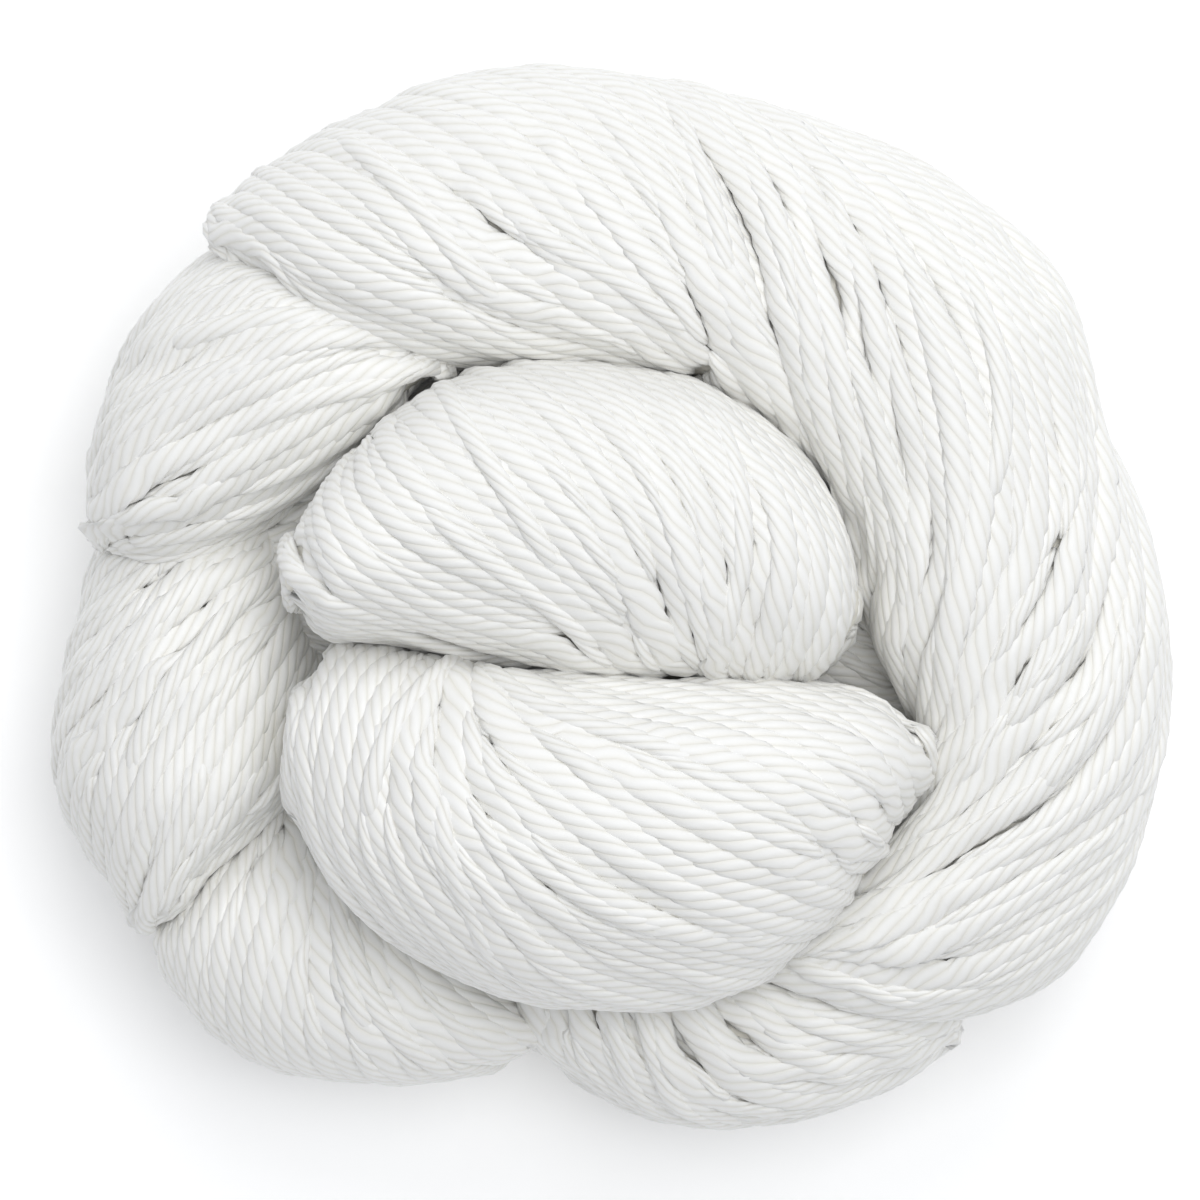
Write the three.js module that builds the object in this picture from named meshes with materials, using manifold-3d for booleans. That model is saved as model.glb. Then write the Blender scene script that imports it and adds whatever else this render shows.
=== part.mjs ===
// A skein of cotton yarn: one long hank, twisted hard and curled up into a thick round coil.
// It lies on its back, coiled face up. Units are millimetres, +Z is up, and Z = 0 is the floor.
//
// From a step away the coil shows as a dozen plump bundles that dive under each other. Each bundle
// is a closed loft through the rows of a short table. A row is one cross-section: where the bundle
// has its left edge and its right edge, as seen by someone walking along it, and how thick it is.
// The bundles are joined to one solid, and the floor presses small flats into the lowest of them.

import * as THREE from 'three';
import { mergeVertices } from 'three/addons/utils/BufferGeometryUtils.js';
import Module from 'manifold-3d';

// How the lofts are made
const SECTION_SIDES = 24;
const STATIONS_PER_ROW = 2;
const CAP_RINGS = 2; // rings between the last section and the tip of a rounded end
const SECTION_EXPONENT = 2.15; // 2 is an ellipse, more is boxier: soft yarn packs a little square
const SMOOTHING = 0.1; // a point is dropped where the surface without it stays this near

// The yarn bunches into thick cords, with furrows between them that follow the strands. The lofts
// turn with the strands, so that every second side is a furrow. Where the strands cross the bundle
// more steeply than this, in degrees, the loft turns no further, and the furrows fade out.
const SIDES_PER_CORD = 2;
const STEEPEST_TURN = 30;

const FLOOR_SIZE = 400; // side of the block under Z = 0 that trims the rested bundles

// Every row: the left edge, the right edge, the bundle's full thickness, the direction of the
// strands (degrees clockwise from the bundle's axis, seen from outside) and the depth of furrows.
const COLUMNS = [
  'leftX', 'leftY', 'leftZ', 'rightX', 'rightY', 'rightZ', 'thickness', 'strandAngle', 'furrow',
];

// The outermost turn: from its rolled end at the upper left, over the top, down the right side and
// back under the lower middle bundle. Its strands cross it steeply at first, then nearly follow it.
const OUTER_TURN = {
  capLength: [2.5, 3],
  rows: [
    [-38.0, 40.0, 25, -38.6, 33.0, 27, 18, 68, 0],
    [-34.0, 43.4, 26, -32.0, 28.5, 30, 26, 66, 0],
    [-26.5, 47.5, 27, -23.0, 23.8, 31, 31, 62, 0],
    [-17.0, 51.8, 27, -14.0, 22.5, 32, 32, 60, 0],
    [-5.0, 53.1, 27, -3.5, 22.5, 32, 32, 58, 0.1],
    [9.0, 51.2, 27, 7.0, 20.5, 32, 32, 58, 0.3],
    [22.5, 47.2, 27, 15.0, 17.0, 32, 32, 46, 0.7],
    [36.0, 40.2, 27, 21.5, 10.5, 32, 32, 30, 1.0],
    [45.3, 31.5, 27, 24.5, 2.0, 31, 32, 20, 1.2],
    [49.5, 17.5, 26, 26.2, -5.0, 31, 32, 22, 1.2],
    [53.8, 6.5, 26, 28.5, -9.5, 30, 31, 28, 1.2],
    [56.0, -5.0, 25, 30.3, -14.5, 29, 31, 30, 1.2],
    [55.2, -16.5, 24, 29.3, -20.0, 28, 31, 30, 1.2],
    [51.7, -28.0, 23, 25.8, -25.5, 27, 30, 28, 1.1],
    [45.0, -37.6, 22, 21.0, -29.0, 26, 29, 20, 1.0],
    [35.5, -42.3, 21, 17.0, -32.0, 25, 27, 16, 0.8],
    [25.0, -42.3, 21, 15.0, -34.0, 24, 22, 12, 0.5],
    [17.0, -40.4, 21, 13.5, -35.0, 23, 14, 12, 0],
  ],
};

// The four bundles that show below the outer turn, counter-clockwise from the upper left
const UPPER_LEFT_FAN = {
  capLength: [2.5, 1.8],
  rows: [
    [-18.5, 20.3, 31, -15.6, 24.8, 31, 14, -4, 0],
    [-22.6, 16.3, 29, -21.0, 30.8, 29, 22, -4, 0.6],
    [-28.0, 11.6, 27, -28.0, 35.8, 27, 28, -6, 0.9],
    [-35.0, 6.8, 25, -36.0, 36.5, 25, 31, -8, 0.9],
    [-41.0, 3.6, 23, -44.6, 30.8, 23, 31, -10, 0.9],
    [-47.0, 3.2, 21, -49.8, 21.8, 21, 29, -14, 0.6],
    [-51.2, 4.6, 19, -51.9, 15.5, 19, 23, -18, 0],
  ],
};

const LEFT_FAN = {
  capLength: [4, 3.2],
  rows: [
    [-31.0, 9.8, 13, -49.0, 12.0, 13, 22, 26, 0],
    [-29.6, 2.8, 15, -52.5, 3.0, 14, 30, 30, 0.6],
    [-28.0, -4.2, 16, -54.5, -5.7, 15, 34, 30, 0.9],
    [-28.0, -12.2, 16, -56.0, -14.2, 15, 35, 30, 0.9],
    [-29.5, -18.2, 16, -55.4, -20.4, 15, 34, 28, 0.9],
    [-33.5, -23.0, 15, -52.2, -26.4, 14, 31, 26, 0.7],
    [-39.4, -27.8, 14, -48.2, -31.6, 13, 27, 22, 0],
  ],
};

const LOWER_LEFT_FAN = {
  capLength: [4, 2.5],
  rows: [
    [-27.0, -18.0, 12, -39.6, -25.2, 12, 20, 28, 0],
    [-21.0, -25.2, 14, -46.0, -34.0, 13, 27, 30, 0.3],
    [-15.0, -32.0, 14, -42.4, -41.5, 13, 29, 30, 0.4],
    [-9.5, -37.5, 14, -34.2, -47.4, 13, 28, 24, 0.4],
    [-6.0, -40.5, 13, -21.8, -49.2, 12, 26, 12, 0.2],
    [-5.5, -42.0, 12, -12.6, -47.6, 12, 22, 6, 0],
  ],
};

const BOTTOM_SWAG = {
  capLength: [2, 2],
  rows: [
    [-9.6, -34.0, 13, -7.8, -45.8, 13, 22, 50, 0],
    [-3.0, -34.0, 14, -3.2, -48.6, 14, 27, 42, 0.2],
    [5.0, -34.0, 15, 3.6, -52.2, 15, 30, 34, 0.5],
    [13.0, -34.0, 15, 11.0, -53.1, 15, 31, 30, 0.7],
    [21.0, -35.0, 15, 19.4, -52.1, 15, 30, 28, 0.8],
    [28.0, -36.0, 14, 27.6, -49.3, 14, 28, 16, 0.7],
    [33.0, -38.7, 13, 34.4, -45.6, 13, 22, 8, 0],
  ],
};

// The two fat bundles in the middle, which stand highest
const UPPER_MIDDLE = {
  capLength: [2.4, 1.6],
  rows: [
    [-31.0, 7.0, 37, -31.2, -1.8, 38, 22, 72, 0],
    [-27.6, 12.3, 37, -27.8, -4.2, 39, 30, 60, 0],
    [-20.0, 19.8, 37, -21.0, -4.8, 38, 34, 52, 0],
    [-11.0, 23.2, 37, -11.6, -7.0, 36, 36, 46, 0],
    [-1.0, 23.4, 37, -1.0, -9.5, 35, 37, 46, 0],
    [9.0, 21.4, 37, 9.0, -10.5, 34, 37, 48, 0],
    [17.4, 16.0, 36, 17.0, -9.5, 34, 34, 54, 0],
    [22.4, 9.3, 35, 22.0, -7.6, 33, 28, 64, 0],
    [24.5, 3.6, 33, 24.1, -5.0, 32, 20, 70, 0],
  ],
};

const LOWER_MIDDLE = {
  capLength: [2.6, 2.4],
  rows: [
    [-30.4, -7.6, 33, -31.4, -22.0, 33, 24, 88, 0],
    [-26.0, -4.2, 34, -27.6, -28.9, 34, 31, 80, 0],
    [-18.0, -5.0, 36, -20.0, -35.2, 34, 36, 60, 0],
    [-9.0, -6.4, 39, -10.0, -40.0, 34, 37, 34, 0],
    [1.0, -7.2, 40, 1.0, -41.0, 34, 37, 24, 0],
    [11.0, -7.6, 40, 11.4, -39.9, 34, 36, 22, 0],
    [19.5, -8.3, 39, 20.0, -34.4, 34, 33, 26, 0],
    [26.5, -10.0, 37, 26.5, -26.4, 34, 27, 36, 0],
    [30.2, -12.6, 35, 30.6, -19.8, 34, 18, 48, 0],
  ],
};

// The inner end of the coil, below what shows from above. The outer turn lies on three shorter
// bundles, which tuck under one another, and the middle ones lie on two more.
const LOWER_TOP = {
  capLength: [4, 5],
  rows: [
    [-42.0, 26.8, 12, -31.0, 17.8, 13, 22, 24, 0],
    [-35.5, 38.5, 12, -24.0, 24.8, 13, 27, 26, 0.5],
    [-24.0, 46.2, 12, -16.0, 26.8, 13, 28, 26, 0.8],
    [-8.0, 50.0, 12, -5.0, 26.8, 13, 28, 26, 0.8],
    [7.0, 48.4, 12, 6.0, 26.0, 12, 26, 26, 0.6],
    [16.0, 43.8, 10, 13.0, 26.0, 10, 18, 26, 0],
  ],
};

const LOWER_RIGHT = {
  capLength: [4, 5],
  rows: [
    [3.0, 46.4, 10, 2.0, 30.0, 10, 18, 22, 0],
    [15.0, 46.2, 12, 9.0, 25.0, 12, 26, 24, 0.6],
    [28.5, 39.6, 12, 18.0, 18.0, 13, 28, 26, 0.8],
    [39.0, 31.4, 12, 24.0, 9.0, 13, 28, 26, 0.8],
    [45.4, 19.0, 12, 27.0, 2.0, 12, 26, 26, 0.6],
    [47.6, 10.8, 10, 31.0, -2.0, 11, 18, 26, 0],
  ],
};

const LOWER_CORNER = {
  capLength: [4, 5],
  rows: [
    [44.0, 19.8, 10, 29.0, 12.8, 10, 18, 20, 0],
    [49.6, 8.8, 12, 27.0, 1.8, 12, 26, 22, 0.6],
    [52.6, -4.2, 12, 27.0, -8.2, 13, 28, 24, 0.8],
    [51.6, -18.2, 12, 26.0, -17.0, 13, 28, 26, 0.8],
    [46.4, -30.2, 12, 22.0, -25.2, 13, 27, 26, 0.8],
    [38.0, -39.2, 12, 17.0, -30.0, 12, 24, 26, 0.5],
    [29.0, -40.2, 11, 16.0, -33.0, 11, 18, 26, 0],
  ],
};

const UPPER_CORE = {
  capLength: [4, 4],
  rows: [
    [-35.0, 12.0, 14, -35.0, -8.0, 14, 22, 24, 0],
    [-18.0, 26.0, 15, -18.0, -11.0, 15, 32, 24, 0.6],
    [-1.0, 29.0, 15, -1.0, -13.0, 15, 32, 24, 0.8],
    [15.0, 25.0, 15, 15.0, -15.0, 15, 32, 24, 0.6],
    [30.0, 10.0, 14, 30.0, -14.0, 14, 24, 24, 0],
  ],
};

const LOWER_CORE = {
  capLength: [4, 4],
  rows: [
    [-33.0, -4.0, 14, -33.0, -22.0, 14, 22, 24, 0],
    [-17.0, -6.0, 15, -18.0, -32.0, 15, 31, 24, 0.6],
    [-1.0, -7.0, 15, -1.0, -38.0, 15, 31, 24, 0.8],
    [15.0, -7.0, 15, 15.0, -36.0, 15, 31, 24, 0.6],
    [30.0, -7.0, 14, 30.0, -26.0, 14, 24, 24, 0],
  ],
};

const BUNDLES = [
  OUTER_TURN, UPPER_LEFT_FAN, LEFT_FAN, LOWER_LEFT_FAN, BOTTOM_SWAG, UPPER_MIDDLE, LOWER_MIDDLE,
  LOWER_TOP, LOWER_RIGHT, LOWER_CORNER, UPPER_CORE, LOWER_CORE,
];

// The value at `t` between b and c of the smooth Catmull-Rom curve through a, b, c and d.
function smoothBetween(a, b, c, d, t) {
  const slope = c - a;
  const bend = 2 * a - 5 * b + 4 * c - d;
  const twist = 3 * (b - c) + d - a;
  return b + 0.5 * t * (slope + t * (bend + t * twist));
}

// The table's row at a fractional place, as an object with the column names.
function rowAt(rows, place) {
  const last = rows.length - 1;
  const index = Math.min(Math.floor(place), last - 1);
  const pick = (step) => rows[THREE.MathUtils.clamp(index + step, 0, last)];
  const row = {};
  COLUMNS.forEach((name, column) => {
    const values = [-1, 0, 1, 2].map((step) => pick(step)[column]);
    row[name] = smoothBetween(...values, place - index);
  });
  return row;
}

// The cross-sections of a bundle, with the turn of the strands added up along it.
function sectionsOf(rows) {
  const count = (rows.length - 1) * STATIONS_PER_ROW + 1;
  const sections = [];
  let turn = 0;
  for (let k = 0; k < count; k++) {
    const row = rowAt(rows, k / STATIONS_PER_ROW);
    const left = new THREE.Vector3(row.leftX, row.leftY, row.leftZ);
    const right = new THREE.Vector3(row.rightX, row.rightY, row.rightZ);
    const centre = left.clone().add(right).multiplyScalar(0.5);
    const side = left.clone().sub(centre);
    const before = sections[sections.length - 1];
    if (before) {
      const radius = 0.5 * (side.length() + row.thickness / 2);
      const angle = Math.min(row.strandAngle, STEEPEST_TURN);
      const step = centre.distanceTo(before.centre);
      turn += (Math.tan(THREE.MathUtils.degToRad(angle)) * step) / radius;
    }
    sections.push({ centre, side, rise: row.thickness / 2, furrow: row.furrow, turn });
  }
  return sections;
}

// One ring of points: a rounded oval, shrunk by `scale`, shifted by `shift`, with its furrows.
function ringOf(section, scale, shift) {
  const points = [];
  for (let k = 0; k < SECTION_SIDES; k++) {
    const angle = (2 * Math.PI * k) / SECTION_SIDES + section.turn;
    const across = Math.sign(Math.cos(angle)) * Math.abs(Math.cos(angle)) ** (2 / SECTION_EXPONENT);
    const up = Math.sign(Math.sin(angle)) * Math.abs(Math.sin(angle)) ** (2 / SECTION_EXPONENT);
    const furrow = k % SIDES_PER_CORD === 0 ? section.furrow : 0;
    const radius = 0.5 * (section.side.length() + section.rise);
    const size = scale * (1 - furrow / radius);
    points.push(
      section.centre
        .clone()
        .addScaledVector(section.side, across * size)
        .addScaledVector(new THREE.Vector3(0, 0, 1), up * size * section.rise)
        .add(shift),
    );
  }
  return points;
}

// The rings of a rounded end, from the tip towards the section, as a quarter of an ellipse.
function capRings(section, outward, length) {
  const rings = [];
  for (let k = CAP_RINGS; k >= 1; k--) {
    const angle = (k / (CAP_RINGS + 1)) * (Math.PI / 2);
    rings.push(ringOf(section, Math.cos(angle), outward.clone().multiplyScalar(length * Math.sin(angle))));
  }
  return rings;
}

// A bundle as a closed geometry: a tip, rings of equal count, and a tip.
function bundleGeometry({ capLength, rows }) {
  const sections = sectionsOf(rows);
  const first = sections[0];
  const last = sections[sections.length - 1];
  const backward = first.centre.clone().sub(sections[1].centre).normalize();
  const forward = last.centre.clone().sub(sections[sections.length - 2].centre).normalize();
  const none = new THREE.Vector3();
  const rings = [
    ...capRings(first, backward, capLength[0]),
    ...sections.map((section) => ringOf(section, 1, none)),
    ...capRings(last, forward, capLength[1]).reverse(),
  ];
  const points = [
    first.centre.clone().addScaledVector(backward, capLength[0]),
    ...rings.flat(),
    last.centre.clone().addScaledVector(forward, capLength[1]),
  ];
  const at = (ring, side) => 1 + ring * SECTION_SIDES + (side % SECTION_SIDES);
  const end = points.length - 1;
  const faces = [];
  for (let side = 0; side < SECTION_SIDES; side++) {
    faces.push(0, at(0, side + 1), at(0, side));
    for (let ring = 0; ring < rings.length - 1; ring++) {
      faces.push(at(ring, side), at(ring + 1, side + 1), at(ring + 1, side));
      faces.push(at(ring, side), at(ring, side + 1), at(ring + 1, side + 1));
    }
    faces.push(end, at(rings.length - 1, side), at(rings.length - 1, side + 1));
  }
  const geometry = new THREE.BufferGeometry().setFromPoints(points);
  geometry.setIndex(faces);
  return geometry;
}

// A block whose top face is the floor.
function floorGeometry() {
  const block = new THREE.BoxGeometry(FLOOR_SIZE, FLOOR_SIZE, FLOOR_SIZE);
  return block.translate(0, 0, -FLOOR_SIZE / 2);
}

const wasm = await Module();
wasm.setup();

function toSolid(geometry) {
  const bare = geometry.clone();
  bare.deleteAttribute('normal');
  bare.deleteAttribute('uv');
  const welded = mergeVertices(bare);
  const mesh = new wasm.Mesh({
    numProp: 3,
    vertProperties: Float32Array.from(welded.attributes.position.array),
    triVerts: Uint32Array.from(welded.index.array),
  });
  return new wasm.Manifold(mesh);
}

function toGeometry(solid) {
  const { vertProperties, triVerts } = solid.getMesh();
  const geometry = new THREE.BufferGeometry();
  geometry.setAttribute('position', new THREE.BufferAttribute(vertProperties, 3));
  geometry.setIndex(new THREE.BufferAttribute(triVerts, 1));
  geometry.computeVertexNormals();
  return geometry;
}

// The joined bundles as one body. Pockets that the bundles close off inside are filled.
function joinBundles() {
  const whole = BUNDLES.map((bundle) => toSolid(bundleGeometry(bundle)))
    .reduce((sum, bundle) => sum.add(bundle))
    .subtract(toSolid(floorGeometry()))
    .simplify(SMOOTHING);
  const bodies = whole.decompose();
  return bodies.reduce((best, body) => (body.volume() > best.volume() ? body : best));
}

function makeSkein() {
  const geometry = toGeometry(joinBundles());
  geometry.computeBoundingBox();
  const middle = geometry.boundingBox.getCenter(new THREE.Vector3());
  geometry.translate(-middle.x, -middle.y, -geometry.boundingBox.min.z);
  const cotton = new THREE.MeshStandardMaterial({ color: 0xebedec, roughness: 0.75, metalness: 0 });
  const skein = new THREE.Mesh(geometry, cotton);
  skein.name = 'skein';
  return skein;
}

const model = new THREE.Group();
model.add(makeSkein());
export default model;
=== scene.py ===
# %% [markdown]
# # A skein of cotton yarn
# The real thing is one long hank of plied cotton, twisted hard and curled up into a thick round coil.
# From a step away it is a dozen plump bundles that dive under each other, and from close by it is
# hundreds of strands of a soft cord, each about 2 mm thick. This lesson lays those strands one
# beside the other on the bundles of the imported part, and twists each of them.

import math
import time

import bpy
import numpy as np
from mathutils.bvhtree import BVHTree
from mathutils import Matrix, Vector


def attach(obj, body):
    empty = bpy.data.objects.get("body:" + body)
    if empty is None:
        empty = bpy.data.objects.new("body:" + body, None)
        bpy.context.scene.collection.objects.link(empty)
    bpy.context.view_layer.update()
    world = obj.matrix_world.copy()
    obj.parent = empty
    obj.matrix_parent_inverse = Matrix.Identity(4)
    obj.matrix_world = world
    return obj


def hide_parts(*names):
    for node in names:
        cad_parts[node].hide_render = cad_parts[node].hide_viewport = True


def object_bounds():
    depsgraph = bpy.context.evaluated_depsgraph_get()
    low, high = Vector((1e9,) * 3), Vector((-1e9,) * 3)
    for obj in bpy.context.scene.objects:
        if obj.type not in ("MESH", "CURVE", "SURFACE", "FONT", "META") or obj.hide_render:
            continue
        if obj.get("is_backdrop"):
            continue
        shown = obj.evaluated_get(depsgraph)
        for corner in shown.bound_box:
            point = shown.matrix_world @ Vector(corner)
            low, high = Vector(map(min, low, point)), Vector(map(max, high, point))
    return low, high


started = time.perf_counter()
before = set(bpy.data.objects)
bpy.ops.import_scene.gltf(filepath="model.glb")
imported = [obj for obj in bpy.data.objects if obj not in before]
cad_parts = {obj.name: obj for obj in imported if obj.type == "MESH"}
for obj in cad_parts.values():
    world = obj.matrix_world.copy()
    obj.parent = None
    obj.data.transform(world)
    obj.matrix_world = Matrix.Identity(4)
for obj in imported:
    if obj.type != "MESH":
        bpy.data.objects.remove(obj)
cad_low, cad_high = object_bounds()
MM = 0.001
print("packed box, mm:", [round(x / MM, 1) for x in (*cad_low, *cad_high)])

# %% [markdown]
# ## The bundles
# Each bundle is a loft through a few cross-sections, in millimetres, in the order in which someone
# walks along it. A row holds x, y and z of its left edge, the same of its right edge, how thick it
# is, and which way the strands run there: their compass direction in degrees counter-clockwise from
# +X, seen from above, near the left edge, along the top and near the right edge. The first seven
# show from above. The last five lie under them, and their strands keep one steady slant.

# %% The bundles that show from above
OUTER_TURN = [
    [-38, 40, 25, -38.6, 33, 27, 18, -30, -35, -45],
    [-34, 43.4, 26, -32, 28.5, 30, 26, -30, -40, -50],
    [-26.5, 47.5, 27, -23, 23.8, 31, 31, -20, -30, -20],
    [-17, 51.8, 27, -14, 22.5, 32, 32, -20, -40, -20],
    [-5, 53.1, 27, -3.5, 22.5, 32, 32, -30, -45, -15],
    [9, 51.2, 27, 7, 20.5, 32, 32, -50, -70, -50],
    [22.5, 47.2, 27, 15, 17, 32, 32, -40, -80, -75],
    [36, 40.2, 27, 21.5, 10.5, 32, 32, -50, -75, -85],
    [45.3, 31.5, 27, 24.5, 2, 31, 32, -70, -75, -100],
    [49.5, 17.5, 26, 26.2, -5, 31, 32, -85, -100, -105],
    [53.8, 6.5, 26, 28.5, -9.5, 30, 31, -90, -125, -95],
    [56, -5, 25, 30.3, -14.5, 29, 31, -100, -140, -120],
    [55.2, -16.5, 24, 29.3, -20, 28, 31, -120, -145, -140],
    [51.7, -28, 23, 25.8, -25.5, 27, 30, -140, -155, -140],
    [45, -37.6, 22, 21, -29, 26, 29, -150, -155, -155],
    [35.5, -42.3, 21, 17, -32, 25, 27, -175, -180, -175],
    [25, -42.3, 21, 15, -34, 24, 22, -190, -200, -175],
    [17, -40.4, 21, 13.5, -35, 23, 14, -200, -200, -180],
]
UPPER_LEFT_FAN = [
    [-18.5, 20.3, 31, -15.6, 24.8, 31, 14, -145, -160, -175],
    [-22.6, 16.3, 29, -21, 30.8, 29, 22, -150, -170, -180],
    [-28, 11.6, 27, -28, 35.8, 27, 28, -150, -170, -180],
    [-35, 6.8, 25, -36, 36.5, 25, 31, -160, -160, -170],
    [-41, 3.6, 23, -44.6, 30.8, 23, 31, -165, -155, -145],
    [-47, 3.2, 21, -49.8, 21.8, 21, 29, -180, -140, -135],
    [-51.2, 4.6, 19, -51.9, 15.5, 19, 23, -165, -125, -120],
]
LEFT_FAN = [
    [-31, 9.8, 13, -49, 12, 13, 22, -130, -140, -140],
    [-29.6, 2.8, 15, -52.5, 3, 14, 30, -135, -140, -140],
    [-28, -4.2, 16, -54.5, -5.7, 15, 34, -130, -135, -140],
    [-28, -12.2, 16, -56, -14.2, 15, 35, -125, -125, -125],
    [-29.5, -18.2, 16, -55.4, -20.4, 15, 34, -130, -125, -110],
    [-33.5, -23, 15, -52.2, -26.4, 14, 31, -140, -130, -105],
    [-39.4, -27.8, 14, -48.2, -31.6, 13, 27, -140, -135, -115],
]
LOWER_LEFT_FAN = [
    [-27, -18, 12, -39.6, -25.2, 12, 20, -70, -100, -115],
    [-21, -25.2, 14, -46, -34, 13, 27, -70, -110, -110],
    [-15, -32, 14, -42.4, -41.5, 13, 29, -60, -90, -90],
    [-9.5, -37.5, 14, -34.2, -47.4, 13, 28, -45, -65, -65],
    [-6, -40.5, 13, -21.8, -49.2, 12, 26, -40, -50, -50],
    [-5.5, -42, 12, -12.6, -47.6, 12, 22, -35, -40, -45],
]
BOTTOM_SWAG = [
    [-9.6, -34, 13, -7.8, -45.8, 13, 22, -90, -85, -75],
    [-3, -34, 14, -3.2, -48.6, 14, 27, -85, -75, -60],
    [5, -34, 15, 3.6, -52.2, 15, 30, -80, -70, -45],
    [13, -34, 15, 11, -53.1, 15, 31, -70, -50, -25],
    [21, -35, 15, 19.4, -52.1, 15, 30, -45, -25, -5],
    [28, -36, 14, 27.6, -49.3, 14, 28, -20, -10, 10],
    [33, -38.7, 13, 34.4, -45.6, 13, 22, 0, 10, 20],
]
UPPER_MIDDLE = [
    [-31, 7, 37, -31.2, -1.8, 38, 22, -70, -60, -40],
    [-27.6, 12.3, 37, -27.8, -4.2, 39, 30, -70, -60, -20],
    [-20, 19.8, 37, -21, -4.8, 38, 34, -50, -45, -30],
    [-11, 23.2, 37, -11.6, -7, 36, 36, -35, -40, -20],
    [-1, 23.4, 37, -1, -9.5, 35, 37, -40, -55, -35],
    [9, 21.4, 37, 9, -10.5, 34, 37, -60, -80, -75],
    [17.4, 16, 36, 17, -9.5, 34, 34, -60, -90, -110],
    [22.4, 9.3, 35, 22, -7.6, 33, 28, -75, -95, -115],
    [24.5, 3.6, 33, 24.1, -5, 32, 20, -90, -95, -110],
]
LOWER_MIDDLE = [
    [-30.4, -7.6, 33, -31.4, -22, 33, 24, -100, -95, -75],
    [-26, -4.2, 34, -27.6, -28.9, 34, 31, -115, -100, -60],
    [-18, -5, 36, -20, -35.2, 34, 36, -120, -80, -55],
    [-9, -6.4, 39, -10, -40, 34, 37, -45, -50, -45],
    [1, -7.2, 40, 1, -41, 34, 37, -15, -35, -20],
    [11, -7.6, 40, 11.4, -39.9, 34, 36, -15, -25, -15],
    [19.5, -8.3, 39, 20, -34.4, 34, 33, -20, -30, -10],
    [26.5, -10, 37, 26.5, -26.4, 34, 27, -35, -45, -20],
    [30.2, -12.6, 35, 30.6, -19.8, 34, 18, -60, -70, -60],
]

# %% The bundles below them
LOWER_TOP = [
    [-42, 26.8, 12, -31, 17.8, 13, 22],
    [-35.5, 38.5, 12, -24, 24.8, 13, 27],
    [-24, 46.2, 12, -16, 26.8, 13, 28],
    [-8, 50, 12, -5, 26.8, 13, 28],
    [7, 48.4, 12, 6, 26, 12, 26],
    [16, 43.8, 10, 13, 26, 10, 18],
]
LOWER_RIGHT = [
    [3, 46.4, 10, 2, 30, 10, 18],
    [15, 46.2, 12, 9, 25, 12, 26],
    [28.5, 39.6, 12, 18, 18, 13, 28],
    [39, 31.4, 12, 24, 9, 13, 28],
    [45.4, 19, 12, 27, 2, 12, 26],
    [47.6, 10.8, 10, 31, -2, 11, 18],
]
LOWER_CORNER = [
    [44, 19.8, 10, 29, 12.8, 10, 18],
    [49.6, 8.8, 12, 27, 1.8, 12, 26],
    [52.6, -4.2, 12, 27, -8.2, 13, 28],
    [51.6, -18.2, 12, 26, -17, 13, 28],
    [46.4, -30.2, 12, 22, -25.2, 13, 27],
    [38, -39.2, 12, 17, -30, 12, 24],
    [29, -40.2, 11, 16, -33, 11, 18],
]
UPPER_CORE = [
    [-35, 12, 14, -35, -8, 14, 22],
    [-18, 26, 15, -18, -11, 15, 32],
    [-1, 29, 15, -1, -13, 15, 32],
    [15, 25, 15, 15, -15, 15, 32],
    [30, 10, 14, 30, -14, 14, 24],
]
LOWER_CORE = [
    [-33, -4, 14, -33, -22, 14, 22],
    [-17, -6, 15, -18, -32, 15, 31],
    [-1, -7, 15, -1, -38, 15, 31],
    [15, -7, 15, 15, -36, 15, 31],
    [30, -7, 14, 30, -26, 14, 24],
]
BUNDLES = {  # name: its rows, and the lengths of its rounded start and end
    "outer_turn": (OUTER_TURN, (2.5, 3)),
    "upper_left_fan": (UPPER_LEFT_FAN, (2.5, 1.8)),
    "left_fan": (LEFT_FAN, (4, 3.2)),
    "lower_left_fan": (LOWER_LEFT_FAN, (4, 2.5)),
    "bottom_swag": (BOTTOM_SWAG, (2, 2)),
    "upper_middle": (UPPER_MIDDLE, (2.4, 1.6)),
    "lower_middle": (LOWER_MIDDLE, (2.6, 2.4)),
    "lower_top": (LOWER_TOP, (4, 5)),
    "lower_right": (LOWER_RIGHT, (4, 5)),
    "lower_corner": (LOWER_CORNER, (4, 5)),
    "upper_core": (UPPER_CORE, (4, 4)),
    "lower_core": (LOWER_CORE, (4, 4)),
}
print(len(BUNDLES), "bundles")

# %% [markdown]
# ## A bundle's skin as a grid
# The strands need a skin to lie on, its outward direction at each point, and a way to follow it.
# A loft could be a subdivided mesh, but a grid of points over two numbers, along and around, gives
# all three as plain arrays. The sections are ovals, a little boxier than an ellipse, because soft
# yarn packs that way, and both ends are rounded like a quarter of an ellipse.

# %% The grid of one bundle
STATIONS_PER_ROW = 12
CAP_STATIONS = 8
AROUND = 96
SECTION_EXPONENT = 2.15
CAP_INSET = 0.5  # how much of an inset is taken off the caps


def smooth_rows(rows, per_row):
    """Catmull-Rom through the rows: b + t/2 (c-a + t (2a-5b+4c-d + t (3(b-c)+d-a))) from b to c."""
    rows = np.array(rows, float)
    last = len(rows) - 1
    place = np.linspace(0, last, last * per_row + 1)
    index = np.minimum(place.astype(int), last - 1)
    t = (place - index)[:, None]
    a, b, c, d = (rows[np.clip(index + step, 0, last)] for step in (-1, 0, 1, 2))
    return b + 0.5 * t * (c - a + t * (2 * a - 5 * b + 4 * c - d + t * (3 * (b - c) + d - a)))


def unit(vectors):
    """Each vector divided by its own length."""
    return vectors / np.maximum(np.linalg.norm(vectors, axis=-1, keepdims=True), 1e-9)


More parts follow.
